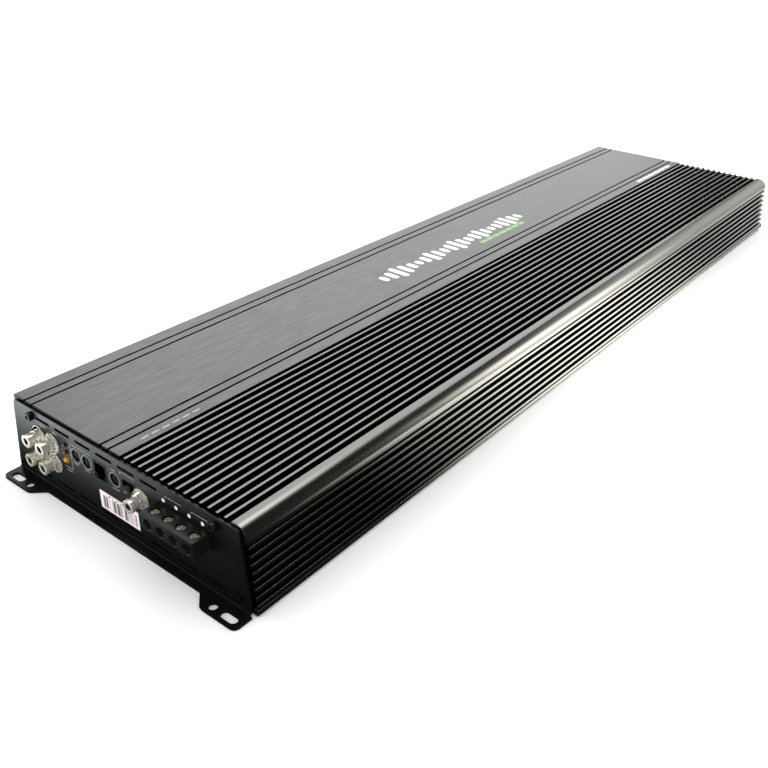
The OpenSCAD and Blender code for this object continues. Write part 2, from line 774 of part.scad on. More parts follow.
heatsink_body();
control_panel();
power_panel();
bottom_cover();
panel_screws();
cover_screws();
main_board();
board_standoffs();
board_screws();
control_board();
control_board_posts();
input_jack_shells();
input_jack_insulators();
input_jack_contacts();
input_jack_block();
link_jack_shell();
link_jack_insulator();
link_jack_contact();
link_jack_block();
power_lamp();
protect_lamp();
clip_lamp();
lamp_holder();
gain_rotor();
filter_rotor();
boost_rotor();
control_pot_bodies();
remote_port_shell();
remote_port_contacts();
slide_switch_case();
slide_switch_lever();
speaker_terminal_block();
speaker_clamp_bodies();
speaker_screw_1();
speaker_screw_2();
speaker_screw_3();
speaker_screw_4();
speaker_pad_1();
speaker_pad_2();
speaker_pad_3();
speaker_pad_4();
power_terminal_block();
power_clamp_bodies();
supply_screw();
ground_screw();
remote_screw();
supply_pad();
ground_pad();
remote_pad();
supply_capacitors();
rail_capacitors();
transformers();
output_coils();
power_transistors();
transistor_pads();
clamp_bars();
clamp_screws();
serial_label();
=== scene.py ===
import json
import math

import bmesh
import bpy
from mathutils import Matrix, Vector


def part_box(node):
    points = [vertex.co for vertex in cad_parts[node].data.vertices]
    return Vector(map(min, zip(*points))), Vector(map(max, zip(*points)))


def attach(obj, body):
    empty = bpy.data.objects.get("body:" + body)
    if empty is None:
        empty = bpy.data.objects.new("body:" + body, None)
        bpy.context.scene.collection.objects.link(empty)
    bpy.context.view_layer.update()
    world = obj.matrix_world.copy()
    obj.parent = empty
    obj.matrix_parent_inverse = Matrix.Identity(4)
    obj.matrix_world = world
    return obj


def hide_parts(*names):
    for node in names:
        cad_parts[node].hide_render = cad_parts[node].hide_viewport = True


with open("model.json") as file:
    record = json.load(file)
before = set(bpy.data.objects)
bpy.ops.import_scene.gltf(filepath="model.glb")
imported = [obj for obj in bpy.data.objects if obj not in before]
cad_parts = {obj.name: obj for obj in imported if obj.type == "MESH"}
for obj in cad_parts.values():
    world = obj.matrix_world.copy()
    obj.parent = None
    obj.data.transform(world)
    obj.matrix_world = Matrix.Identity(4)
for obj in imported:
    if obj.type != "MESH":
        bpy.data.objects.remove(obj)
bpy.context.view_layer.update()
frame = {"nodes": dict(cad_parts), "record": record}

MM = 0.001
scene = bpy.context.scene
scene.view_settings.view_transform = "Standard"

# Camera. A 42 mm lens stands off the control end's corner, above the finned side,
# and looks down along the length of the amplifier. It has no shift and no depth of field.
camera_data = bpy.data.cameras.new("camera")
camera_data.lens = 41.84
camera_data.sensor_width = 36.0
camera_data.clip_start = 0.01
camera_data.clip_end = 50
camera = bpy.data.objects.new("camera", camera_data)
scene.collection.objects.link(camera)
camera_place = (-0.6168, -0.3555, 0.3308)
camera_right = Vector((0.61925, -0.78474, 0.02664))
camera_down = Vector((-0.37514, -0.32549, -0.86794))
camera_ahead = Vector((0.68978, 0.52748, -0.49595))
camera_turn = Matrix((camera_right, -camera_down, -camera_ahead)).transposed().to_4x4()
camera.matrix_world = Matrix.Translation(camera_place) @ camera_turn
scene.camera = camera


# Floor and light. A pale paper sweep under an even sky and one large soft box beyond the plain
# side. The glow cards stand or lie round the amplifier and show only as reflections in it.
def shader_node(tree, kind, settings=None, **inputs):
    """A node with its settings and inputs. The input _2 is the third socket."""
    made = tree.nodes.new(kind)
    for name, value in (settings or {}).items():
        setattr(made, name, value)
    for name, value in inputs.items():
        socket = made.inputs[int(name[1:]) if name[0] == "_" else name.replace("_", " ")]
        if isinstance(value, bpy.types.NodeSocket):
            tree.links.new(value, socket)
        else:
            socket.default_value = value
    return made


def mix_colour(tree, factor, dark, light):
    """A colour between two others, each of them a socket or three numbers."""
    ends = [c if isinstance(c, bpy.types.NodeSocket) else (*c, 1) for c in (dark, light)]
    mixed = shader_node(tree, "ShaderNodeMix", {"data_type": "RGBA"}, _0=factor, _6=ends[0],
                        _7=ends[1])
    return mixed.outputs[2]


def new_material(name):
    material = bpy.data.materials.new(name)
    material.use_nodes = True
    material.node_tree.nodes.clear()
    output = material.node_tree.nodes.new("ShaderNodeOutputMaterial")
    return material, material.node_tree, output


def sheet_mesh(name, corners, material):
    mesh = bpy.data.meshes.new(name)
    mesh.from_pydata([Vector(c) for c in corners], [], [tuple(range(len(corners)))])
    piece = bpy.data.objects.new(name, mesh)
    mesh.materials.append(material)
    scene.collection.objects.link(piece)
    return piece


paper, tree, output = new_material("studio_paper")
mottle = shader_node(tree, "ShaderNodeTexNoise", Scale=3.0, Detail=3.0)
tone = mix_colour(tree, mottle.outputs[0], (0.92, 0.92, 0.915), (0.95, 0.95, 0.945))
paper_shader = shader_node(tree, "ShaderNodeBsdfPrincipled", Base_Color=tone, Roughness=0.9)
tree.links.new(paper_shader.outputs[0], output.inputs[0])
floor_reach = 6
floor_drop = 2e-4
floor = sheet_mesh("floor", [(x * floor_reach, y * floor_reach, -floor_drop)
                             for x, y in ((-1, -1), (1, -1), (1, 1), (-1, 1))], paper)
floor.visible_glossy = False

# The sky is bright for the paper and nearly black for reflections.
world = bpy.data.worlds.new("studio")
world.use_nodes = True
scene.world = world
tree = world.node_tree
tree.nodes.clear()
path = shader_node(tree, "ShaderNodeLightPath")
level = shader_node(tree, "ShaderNodeMix", {"data_type": "FLOAT"},
                    _0=path.outputs["Is Glossy Ray"], _2=1.4, _3=0.02)
sky = shader_node(tree, "ShaderNodeBackground", Color=(1, 1, 1, 1), Strength=level.outputs[0])
world_output = tree.nodes.new("ShaderNodeOutputWorld")
tree.links.new(sky.outputs[0], world_output.inputs[0])


def turn_towards(rig, place, aim):
    rig.location = place
    rig.rotation_euler = (Vector(aim) - Vector(place)).to_track_quat("-Z", "Y").to_euler()


def soft_box(name, place, aim, width, height, radiance, colour):
    lamp = bpy.data.lights.new(name, "AREA")
    lamp.shape = "RECTANGLE"
    lamp.size, lamp.size_y = width, height
    lamp.energy = radiance * math.pi * width * height
    lamp.color = colour
    rig = bpy.data.objects.new(name, lamp)
    turn_towards(rig, place, aim)
    rig.visible_camera = False
    scene.collection.objects.link(rig)


def finish_card(name, corners, material, tree, output, strength, colour):
    """A card that adds its glow to whatever is seen through it, and lights nothing else."""
    glow = shader_node(tree, "ShaderNodeEmission", Color=(*colour, 1), Strength=strength)
    clear = shader_node(tree, "ShaderNodeBsdfTransparent")
    veil = shader_node(tree, "ShaderNodeAddShader", _0=glow.outputs[0], _1=clear.outputs[0])
    tree.links.new(veil.outputs[0], output.inputs[0])
    card = sheet_mesh(name, corners, material)
    for ray in ("camera", "diffuse", "shadow", "transmission"):
        setattr(card, "visible_" + ray, False)
    return card


def smooth_ramp(tree, value, start, end, at_start, at_end):
    ramp = shader_node(tree, "ShaderNodeMapRange", {"interpolation_type": "SMOOTHSTEP"},
                       Value=value, From_Min=start, From_Max=end, To_Min=at_start,
                       To_Max=at_end)
    return ramp.outputs[0]


def floor_card(name, low, high, strength, colour, dark_y, full_y):
    """A card just over the floor, dark up to dark_y and full from full_y."""
    material, tree, output = new_material(name)
    place = shader_node(tree, "ShaderNodeTexCoord")
    split = shader_node(tree, "ShaderNodeSeparateXYZ", _0=place.outputs["Object"])
    glow = smooth_ramp(tree, split.outputs[1], dark_y, full_y, 0.0, strength)
    rise = 4e-4
    corners = [(low[0], low[1], rise), (high[0], low[1], rise), (high[0], high[1], rise),
               (low[0], high[1], rise)]
    finish_card(name, corners, material, tree, output, glow, colour)


def glow_card(name, place, aim, width, height, strength, colour):
    """A card that is brightest in the middle and fades to nothing at its rim."""
    material, tree, output = new_material(name)
    where = shader_node(tree, "ShaderNodeTexCoord")
    scaled = shader_node(tree, "ShaderNodeVectorMath", {"operation": "MULTIPLY"},
                         _0=where.outputs["Object"], _1=(2 / width, 2 / height, 0))
    reach = shader_node(tree, "ShaderNodeVectorMath", {"operation": "LENGTH"},
                        _0=scaled.outputs[0])
    glow = smooth_ramp(tree, reach.outputs["Value"], 0.15, 1.0, strength, 0.0)
    corners = [(x * width / 2, y * height / 2, 0)
               for x, y in ((-1, -1), (1, -1), (1, 1), (-1, 1))]
    card = finish_card(name, corners, material, tree, output, glow, colour)
    turn_towards(card, place, aim)


near_nose, far_nose = (-0.12, -0.1, 0.05), (0.2, -0.1, 0.05)
warm, cool = (1.0, 0.96, 0.88), (0.94, 1.0, 1.0)
soft_box("key_box", (1.2, 1.2, 1.0), (0, 0, 0.03), 2.2, 2.2, 1.6, (1.0, 1.0, 0.98))
glow_card("warm_card", (0.376, -0.422, 0.17), near_nose, 0.46, 0.5, 5.5, warm)
glow_card("far_card", (1.45, -0.34, 0.42), far_nose, 1.8, 1.8, 1.3, (1.0, 0.99, 0.97))
glow_card("overhead_card", (0.15, 0.05, 1.1), (-0.38, -0.02, 0.05), 1.0, 0.9, 4.0,
          (1.0, 1.0, 0.97))
glow_card("low_side_card", (0.02, -0.2, 0.0004), (0.02, -0.2, 1.0), 0.6, 0.6, 4.0, warm)
glow_card("low_far_card", (0.5, -0.25, 0.0006), (0.5, -0.25, 1.0), 1.1, 1.1, 1.1,
          (1.0, 0.98, 0.95))
glow_card("back_fill_card", (-1.7, -1.3, 1.2), (0, 0, 0.05), 2.2, 1.6, 1.0, (1.0, 1.0, 1.0))
glow_card("left_fill_card", (-1.6, 1.3, 1.15), (0, 0, 0.05), 1.6, 1.4, 1.0, (1.0, 1.0, 1.0))
floor_card("front_card", (-1.2, -0.2), (-0.43, 1.2), 5.5, cool, dark_y=-0.04, full_y=0.18)


# Heatsink. One black anodised aluminium extrusion: a brushed flat beside fourteen top fins,
# a rounded nose and eight side ribs. Its cut ends are deburred and the end panels screw to it.
def assign(piece, material):
    if not piece.material_slots:
        piece.data.materials.append(material)
    for slot in piece.material_slots:
        slot.material = material


def soften(node, name, width):
    """A copy of a frame node with its edges rounded, which stands for that node."""
    edit = bmesh.new()
    edit.from_mesh(frame["nodes"][node].data)
    bmesh.ops.remove_doubles(edit, verts=edit.verts, dist=1e-6)
    bmesh.ops.dissolve_limit(edit, angle_limit=math.radians(0.4), verts=edit.verts,
                             edges=edit.edges)
    bmesh.ops.dissolve_degenerate(edit, dist=1e-6, edges=edit.edges)
    sharp = math.radians(30)
    corners = [e for e in edit.edges if len(e.link_faces) == 2 and e.calc_face_angle(0) > sharp]
    bmesh.ops.bevel(edit, geom=corners, offset=width, segments=2, profile=0.5,
                    affect="EDGES", clamp_overlap=False, miter_outer="ARC")
    for face in edit.faces:
        face.smooth = True
    mesh = bpy.data.meshes.new(name)
    edit.to_mesh(mesh)
    edit.free()
    for layer in ("custom_normal", "sharp_edge", "sharp_face"):
        if layer in mesh.attributes:
            mesh.attributes.remove(mesh.attributes[layer])
    mesh.set_sharp_from_angle(angle=math.radians(50))
    piece = bpy.data.objects.new(name, mesh)
    scene.collection.objects.link(piece)
    weighted = piece.modifiers.new("even_shading", "WEIGHTED_NORMAL")
    weighted.keep_sharp = True
    weighted.weight = 100
    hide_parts(node)
    return piece


def ride_as(piece, node):
    """Rides the piece on the body that holds the node it stands for."""
    bodies = frame["record"]["behaviour"]["bodies"]
    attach(piece, next(body for body, nodes in bodies.items() if node in nodes))


def new_group(name, inputs, outputs):
    group = bpy.data.node_groups.new(name, "ShaderNodeTree")
    for label, value in inputs.items():
        socket = group.interface.new_socket(label, in_out="INPUT",
                                            socket_type="NodeSocketFloat")
        socket.default_value = value
    for label in outputs:
        group.interface.new_socket(label, in_out="OUTPUT", socket_type="NodeSocketFloat")
    return group, group.nodes.new("NodeGroupInput"), group.nodes.new("NodeGroupOutput")


def math_node(tree, operation, a, b=0.0):
    return shader_node(tree, "ShaderNodeMath", {"operation": operation}, _0=a, _1=b).outputs[0]


# Drawn lines: noise pulled out along X, as on brushed or extruded metal.
drawn_lines, given, result = new_group(
    "drawn_lines", {"Across": 1200.0, "Along": 40.0, "Contrast": 0.2}, ["Lines"])
place = shader_node(drawn_lines, "ShaderNodeTexCoord")
pull = shader_node(drawn_lines, "ShaderNodeCombineXYZ", X=given.outputs["Along"],
                   Y=given.outputs["Across"], Z=given.outputs["Across"])
pulled = shader_node(drawn_lines, "ShaderNodeVectorMath", {"operation": "MULTIPLY"},
                     _0=place.outputs["Object"], _1=pull.outputs[0])
noise = shader_node(drawn_lines, "ShaderNodeTexNoise", Vector=pulled.outputs[0], Scale=1.0,
                    Detail=4.0, Roughness=0.65)
spread = shader_node(drawn_lines, "ShaderNodeMapRange", Value=noise.outputs[0],
                     From_Min=math_node(drawn_lines, "SUBTRACT", 0.5, given.outputs["Contrast"]),
                     From_Max=math_node(drawn_lines, "ADD", 0.5, given.outputs["Contrast"]))
drawn_lines.links.new(spread.outputs[0], result.inputs["Lines"])

# Fine grain: even speckle for coatings and mouldings, with a broad mottle beside it.
fine_grain, given, result = new_group("fine_grain", {"Grain": 1500.0, "Mottle": 12.0},
                                      ["Grain", "Mottle"])
place = shader_node(fine_grain, "ShaderNodeTexCoord")
speckle = shader_node(fine_grain, "ShaderNodeTexNoise", Vector=place.outputs["Object"],
                      Scale=given.outputs["Grain"], Detail=3.0, Roughness=0.6)
cloud = shader_node(fine_grain, "ShaderNodeTexNoise", Vector=place.outputs["Object"],
                    Scale=given.outputs["Mottle"], Detail=4.0, Roughness=0.55)
cloud_spread = shader_node(fine_grain, "ShaderNodeMapRange", Value=cloud.outputs[0],
                           From_Min=0.3, From_Max=0.7)
fine_grain.links.new(speckle.outputs[0], result.inputs["Grain"])
fine_grain.links.new(cloud_spread.outputs[0], result.inputs["Mottle"])


def use_group(tree, group, **values):
    made = tree.nodes.new("ShaderNodeGroup")
    made.node_tree = group
    for label, value in values.items():
        made.inputs[label].default_value = value
    return made


def mix_value(tree, factor, low, high):
    spread = shader_node(tree, "ShaderNodeMapRange", Value=factor, To_Min=low, To_Max=high)
    return spread.outputs[0]


def between(tree, value, low, high):
    return math_node(tree, "MULTIPLY", math_node(tree, "GREATER_THAN", value, low),
                     math_node(tree, "LESS_THAN", value, high))


anodised, tree, output = new_material("black_anodised")
brush = use_group(tree, drawn_lines, Across=1000.0, Along=50.0, Contrast=0.2)
draw = use_group(tree, drawn_lines, Across=2600.0, Along=9.0, Contrast=0.4)
handling = use_group(tree, fine_grain, Grain=2500.0, Mottle=9.0)
place = shader_node(tree, "ShaderNodeTexCoord")
split = shader_node(tree, "ShaderNodeSeparateXYZ", _0=place.outputs["Object"])
across, up = split.outputs[1], split.outputs[2]

# Painted shade: the metal is coloured near black down in the grooves, the fin gaps and the rib
# gaps, where shade falls.
# The finned side leans in by side_lean for each millimetre that it rises.
top_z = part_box("heatsink_body")[1].z
flat_edge = -2.2 * MM
grooved = (-88.0 * MM, 98.5 * MM)
gap_depth = (0.14 * MM, 6.8 * MM)
side_lean = 0.108
side_foot = (100.6 + side_lean * 42.4) * MM
rib_gap_depth = (0.5 * MM, 8 * MM)
ribbed = (4.8 * MM, 44.6 * MM)
on_flat = math_node(tree, "GREATER_THAN", across, flat_edge)
in_gap = math_node(tree, "MULTIPLY", between(tree, across, *grooved),
                   between(tree, up, top_z - gap_depth[1], top_z - gap_depth[0]))
side_depth = math_node(tree, "SUBTRACT", math_node(tree, "ADD", across, side_foot),
                       math_node(tree, "MULTIPLY", up, side_lean))
in_rib_gap = math_node(tree, "MULTIPLY", between(tree, side_depth, *rib_gap_depth),
                       between(tree, up, *ribbed))
on_side = math_node(tree, "LESS_THAN", across, -92 * MM)
in_shade = math_node(tree, "MAXIMUM", in_gap, math_node(tree, "MULTIPLY", in_rib_gap, on_side))
flat_tone = mix_colour(tree, brush.outputs[0], (0.100, 0.108, 0.108), (0.215, 0.226, 0.224))
fin_tone = mix_colour(tree, draw.outputs[0], (0.19, 0.195, 0.185), (0.26, 0.265, 0.255))
metal_tone = mix_colour(tree, on_flat, fin_tone, flat_tone)
# Painted shade: where in_shade is set, the metal colour gives way to near black.
painted_shade_tone = mix_colour(tree, in_shade, metal_tone, (0.006, 0.006, 0.006))
flat_rough = mix_value(tree, brush.outputs[0], 0.30, 0.40)
fin_rough = mix_value(tree, handling.outputs["Mottle"], 0.20, 0.26)
rough = shader_node(tree, "ShaderNodeMix", {"data_type": "FLOAT"}, _0=on_flat, _2=fin_rough,
                    _3=flat_rough)
faint_draw = math_node(tree, "MULTIPLY", draw.outputs[0], 0.1)
relief = shader_node(tree, "ShaderNodeMix", {"data_type": "FLOAT"}, _0=on_flat, _2=faint_draw,
                     _3=brush.outputs[0])
scratches = shader_node(tree, "ShaderNodeBump", Strength=0.4, Distance=6e-6,
                        Height=relief.outputs[0])
shader = shader_node(tree, "ShaderNodeBsdfPrincipled", Base_Color=painted_shade_tone, Metallic=1.0,
                     Roughness=rough.outputs[0], Normal=scratches.outputs[0])
tree.links.new(shader.outputs[0], output.inputs[0])

# The top is lowered by the ink's thickness, so that the printed marks stay inside the outline.
heatsink = soften("heatsink_body", "heatsink_extrusion", 0.38 * MM)
ink_depth = 0.04 * MM
for vertex in heatsink.data.vertices:
    vertex.co.z = min(vertex.co.z, top_z - ink_depth)
assign(heatsink, anodised)
ride_as(heatsink, "heatsink_body")


# Printed marks on the flat. Screen-printed ink, cured on the anodised face: a row of white
# rounded bars in the middle, green dashes beside it, and short dashes near both ends.
def stroke(u0, v0, u1, v1, width):
    """The outline of a round-ended line, in millimetres."""
    start, end = Vector((u0, v0)), Vector((u1, v1))
    along = (end - start).normalized() * width / 2
    across = Vector((-along.y, along.x))
    turns = [math.pi * k / 6 for k in range(7)]
    return ([end + across * math.cos(t) + along * math.sin(t) for t in turns] +
            [start - across * math.cos(t) - along * math.sin(t) for t in turns])


def circle(u, v, radius, count=32):
    turns = [2 * math.pi * k / count for k in range(count)]
    return [Vector((u + radius * math.cos(t), v + radius * math.sin(t))) for t in turns]


def ink_piece(name, outlines, rings, put, depth):
    """Flat prisms of ink. put(u, v, height) gives a point; rings are pairs of equal outlines."""
    edit = bmesh.new()
    for outline in outlines:
        bottom = [edit.verts.new(put(p.x, p.y, 0)) for p in outline]
        top = [edit.verts.new(put(p.x, p.y, depth)) for p in outline]
        edit.faces.new(top)
        edit.faces.new(bottom[::-1])
        for k in range(len(outline)):
            edit.faces.new((bottom[k], bottom[k - 1], top[k - 1], top[k]))
    for outer, inner in rings:
        rows = [[edit.verts.new(put(p.x, p.y, h)) for p in line]
                for line, h in ((outer, 0), (outer, depth), (inner, depth), (inner, 0))]
        for a, b in zip(rows, rows[1:] + rows[:1]):
            for k in range(len(outer)):
                edit.faces.new((a[k], a[k - 1], b[k - 1], b[k]))
    bmesh.ops.recalc_face_normals(edit, faces=edit.faces)
    mesh = bpy.data.meshes.new(name)
    edit.to_mesh(mesh)
    edit.free()
    piece = bpy.data.objects.new(name, mesh)
    scene.collection.objects.link(piece)
    return piece


def coated(name, dark, light, rough, metallic=0.0, grain=1500.0, mottle=12.0, depth=4e-6,
           lines=None, coat=0.0, specular=0.5):
    """A coated, plated or moulded surface, varied by grain and mottle, or by drawn lines."""
    material, tree, output = new_material(name)
    surface = use_group(tree, fine_grain, Grain=grain, Mottle=mottle)
    colour_pattern, pattern = surface.outputs["Mottle"], surface.outputs["Grain"]
    if lines:
        drawn = use_group(tree, drawn_lines, Across=lines[0], Along=lines[1], Contrast=0.25)
        colour_pattern = pattern = drawn.outputs[0]
    bump = shader_node(tree, "ShaderNodeBump", Strength=0.4, Distance=depth, Height=pattern)
    shader = shader_node(tree, "ShaderNodeBsdfPrincipled", Metallic=metallic, Coat_Weight=coat,
                         Base_Color=mix_colour(tree, colour_pattern, dark, light),
                         Roughness=mix_value(tree, surface.outputs["Mottle"], *rough),
                         Normal=bump.outputs[0])
    shader.inputs["Specular IOR Level"].default_value = specular
    shader.inputs["Coat Roughness"].default_value = 0.08
    tree.links.new(shader.outputs[0], output.inputs[0])
    return material


def ink(name, dark, light):
    return coated(name, dark, light, (0.45, 0.6), grain=3000.0, mottle=200.0)


def on_top(u, v, height):
    return Vector((u * MM, v * MM, top_z - ink_depth + height))


def dash_row(count, first, pitch, length, y, width):
    """Dashes in a row along X. first is where the row starts."""
    return [stroke(first + pitch * k, y, first + length + pitch * k, y, width)
            for k in range(count)]


white_ink = ink("white_ink", (0.74, 0.76, 0.76), (0.86, 0.88, 0.88))
grey_ink = ink("grey_ink", (0.34, 0.35, 0.35), (0.44, 0.45, 0.45))
green_ink = ink("green_ink", (0.24, 0.44, 0.18), (0.32, 0.52, 0.25))
bar_pitch, bar_width, emblem_y = 9.2, 5.6, 41.5
bar_reach = [8.2, 5.0, 2.6, 4.4, 6.8, 3.4, 1.6, 3.0, 5.6, 7.6, 4.2, 2.2]
bars = []
for k in range(1 - len(bar_reach), len(bar_reach)):
    reach = bar_reach[abs(k)]
    bars.append(stroke(k * bar_pitch, emblem_y - reach, k * bar_pitch, emblem_y + reach,
                       bar_width))
near_dashes = dash_row(6, first=-369, pitch=7.5, length=4.5, y=2.6, width=1.1)
far_dashes = dash_row(6, first=286, pitch=14, length=10, y=3.0, width=3.6)
green_dashes = dash_row(7, first=20, pitch=10.5, length=6, y=28.6, width=4.0)
for name, outlines, material in (("white_bars", bars + far_dashes, white_ink),
                                 ("grey_dashes", near_dashes, grey_ink),
                                 ("green_dashes", green_dashes, green_ink)):
    marks = ink_piece(name, outlines, [], on_top, ink_depth * 0.9)
    assign(marks, material)
    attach(marks, "amplifier")


# End panels. Folded steel sheet with slotted ears, punched and then painted satin black.
# Socket head screws hold each one to the end of the extrusion.
panel_paint = coated("satin_black_paint", (0.0025, 0.0028, 0.0028), (0.0042, 0.0046, 0.0046),
                     (0.38, 0.46), grain=2200.0, mottle=25.0, depth=6e-6, specular=0.55)
for node, name in (("control_panel", "control_end_panel"), ("power_panel", "power_end_panel")):
    panel = soften(node, name, 0.22 * MM)
    assign(panel, panel_paint)
    ride_as(panel, node)


# Printed marks on the control panel. White screen print round the controls, lamps and switch:
# rings, brackets, dots for the speaker terminals, and plain dashes where a legend would be.
panel_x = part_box("serial_label")[1].x


def on_panel(u, v, height):
    return Vector((panel_x - height, u * MM, v * MM))


def bracket(points, width):
    return [stroke(*a, *b, width) for a, b in zip(points, points[1:])]


line = 0.24
control_y, control_z = [39, 28.9, 3.5], 36.9
ring_r = 4.7
rings = [(circle(y, control_z, ring_r), circle(y, control_z, ring_r - line))
         for y in control_y]
lamp_bracket = [(52, 25), (44, 25), (44, 44)]
control_bar = [(42.5, 43.6), (24.5, 43.6)]
switch_bracket = [(-2, 43.4), (-2, 45), (-14, 45), (-14, 43.4)]
panel_lines = []
for points in (lamp_bracket, control_bar, switch_bracket):
    panel_lines += bracket(points, line)
speaker_y = [-38.3 - 10.13 * k for k in range(4)]
speaker_dots = [circle(y, 43.3, 1.25, 24) for y in speaker_y]
for low, high in ((speaker_y[1], speaker_y[0]), (speaker_y[3], speaker_y[2])):
    panel_lines += bracket([(high - 1.8, 45.6), (high - 1.8, 46.8), (low - 4.4, 46.8)], line)
# Each legend is a row of short dashes: where its first dash starts, its height and its count.
legends = [(41.5, 31.0, 3), (31.0, 31.0, 3), (6.0, 30.5, 4), (50.5, 22.8, 4), (6.5, 43.0, 3),
           (-12, 32.6, 4), (72, 44.2, 4), (60, 44.2, 3), (-4, 32.6, 2)]
for y, z, count in legends:
    panel_lines += [stroke(y - 1.5 * k, z, y - 0.8 - 1.5 * k, z, 0.45) for k in range(count)]
for name, outlines, circles, material in (("panel_print", panel_lines, rings, grey_ink),
                                          ("panel_dots", speaker_dots, [], white_ink)):
    panel_ink = ink_piece(name, outlines, circles, on_panel, ink_depth)
    assign(panel_ink, material)
    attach(panel_ink, "amplifier")


# Screws and bottom cover. Black oxide socket screws hold the panels, countersunk ones the
# cover, and the cover is a plain painted steel sheet.
black_oxide = coated("black_oxide", (0.004, 0.004, 0.0045), (0.010, 0.010, 0.011), (0.30, 0.40),
                     metallic=0.3, grain=3500.0, mottle=300.0)
cover_paint = coated("cover_paint", (0.012, 0.012, 0.012), (0.02, 0.02, 0.02), (0.5, 0.6),
                     grain=1800.0, mottle=10.0, depth=1e-5)
for node in ("panel_screws", "cover_screws"):
    screws = soften(node, node.replace("screws", "screw_set"), 0.14 * MM)
    assign(screws, black_oxide)
    ride_as(screws, node)
assign(frame["nodes"]["bottom_cover"], cover_paint)


# Line jacks. Turned brass shells plated pale nickel, each with a dark red insulator ring and a
# gilt centre socket, riveted through the panel into a moulded block.
plating = coated("pale_plating", (0.84, 0.80, 0.70), (0.93, 0.90, 0.82), (0.14, 0.22),
                 metallic=0.72, grain=4000.0, mottle=200.0, depth=2e-6)
red_insulator = coated("red_insulator", (0.022, 0.004, 0.004), (0.040, 0.007, 0.006),
                       (0.3, 0.42), grain=5000.0, mottle=400.0)
gilt = coated("gilt_contact", (0.55, 0.42, 0.2), (0.72, 0.56, 0.3), (0.2, 0.3), metallic=1.0,
              grain=5000.0, mottle=400.0)
moulding = coated("black_moulding", (0.004, 0.004, 0.0045), (0.007, 0.007, 0.0075),
                  (0.34, 0.46), grain=2600.0, mottle=90.0, depth=8e-6)
for node, material, slot in (("input_jack_shells", plating, "plated_jack"),
                             ("link_jack_shell", plating, "plated_jack"),
                             ("input_jack_insulators", red_insulator, "jack_insulator"),
                             ("link_jack_insulator", red_insulator, "jack_insulator")):
    jack_part = soften(node, node.replace("jack", "phono"), 0.18 * MM)
    assign(jack_part, material)
    ride_as(jack_part, node)
for node, material in (("input_jack_contacts", gilt), ("link_jack_contact", gilt),
                       ("input_jack_block", moulding), ("link_jack_block", moulding)):
    assign(frame["nodes"][node], material)


# Indicator lamps. Round-nosed coloured lenses pushed through the panel from a moulded holder:
# amber glows, and the red and smoked ones are off.
def lens(name, dark, light, glow=0.0):
    material, tree, output = new_material(name)
    surface = use_group(tree, fine_grain, Grain=900.0, Mottle=500.0)
    tone = mix_colour(tree, surface.outputs["Mottle"], dark, light)
    bump = shader_node(tree, "ShaderNodeBump", Strength=0.2, Distance=4e-6,
                       Height=surface.outputs["Grain"])
    shader = shader_node(tree, "ShaderNodeBsdfPrincipled", Base_Color=tone, Coat_Weight=1.0,
                         Roughness=mix_value(tree, surface.outputs["Grain"], 0.12, 0.3),
                         Normal=bump.outputs[0], Emission_Color=tone, Emission_Strength=glow)
    tree.links.new(shader.outputs[0], output.inputs[0])
    return material


amber_lens = lens("amber_lens", (0.30, 0.13, 0.008), (0.50, 0.25, 0.02), glow=0.04)
red_lens = lens("red_lens", (0.04, 0.003, 0.003), (0.08, 0.006, 0.006))
smoked_lens = lens("smoked_lens", (0.012, 0.009, 0.009), (0.024, 0.018, 0.018))
for node, material in (("power_lamp", amber_lens), ("protect_lamp", red_lens),
                       ("clip_lamp", smoked_lens), ("lamp_holder", moulding)):
    assign(frame["nodes"][node], material)


# Rotary controls and slide switch. Recessed black nylon rotors turned with a screwdriver,
# metal-cased parts on the control board, and a ribbed black switch lever.
nylon = coated("black_nylon", (0.003, 0.003, 0.0033), (0.006, 0.006, 0.0065), (0.38, 0.5),
               grain=4200.0, mottle=300.0, specular=0.2)
case_steel = coated("case_steel", (0.38, 0.39, 0.40), (0.55, 0.56, 0.57), (0.25, 0.4),
                    metallic=1.0, lines=(2500.0, 300.0))
for node in ("gain_rotor", "filter_rotor", "boost_rotor", "slide_switch_lever"):
    knob = soften(node, node + "_moulding", 0.16 * MM)
    assign(knob, nylon)
    ride_as(knob, node)
for node in ("control_pot_bodies", "slide_switch_case"):
    assign(frame["nodes"][node], case_steel)


# Remote port. A glossy black modular socket with six sprung contacts over its throat. It sits
# behind its window in the control panel.
gloss_plastic = coated("gloss_plastic", (0.003, 0.003, 0.0034), (0.006, 0.006, 0.0065),
                       (0.12, 0.2), grain=1800.0, mottle=200.0, depth=2e-6)
port = soften("remote_port_shell", "remote_socket", 0.2 * MM)
assign(port, gloss_plastic)
ride_as(port, "remote_port_shell")
assign(frame["nodes"]["remote_port_contacts"], gilt)


# Terminals. Moulded blocks stand through both end panels over plated brass clamp bodies. Each
# set screw presses a steel pad onto the wire in its clamp.
terminal_plastic = coated("terminal_plastic", (0.005, 0.005, 0.0055), (0.010, 0.010, 0.011),
                          (0.28, 0.38), grain=2400.0, mottle=120.0, depth=8e-6)
clamp_brass = coated("clamp_brass", (0.48, 0.41, 0.28), (0.66, 0.58, 0.42), (0.24, 0.38),
                     metallic=1.0, grain=2500.0, mottle=180.0)
screw_nickel = coated("screw_nickel", (0.60, 0.54, 0.42), (0.82, 0.76, 0.62), (0.18, 0.32),
                      metallic=0.75, grain=3500.0, mottle=450.0)
pad_steel = coated("pad_steel", (0.42, 0.42, 0.42), (0.58, 0.58, 0.58), (0.25, 0.4),
                   metallic=1.0, grain=3500.0, mottle=300.0)
for node in ("speaker_terminal_block", "power_terminal_block"):
    block = soften(node, node + "_moulding", 0.25 * MM)
    assign(block, terminal_plastic)
    ride_as(block, node)
for node in ("speaker_clamp_bodies", "power_clamp_bodies"):
    assign(frame["nodes"][node], clamp_brass)
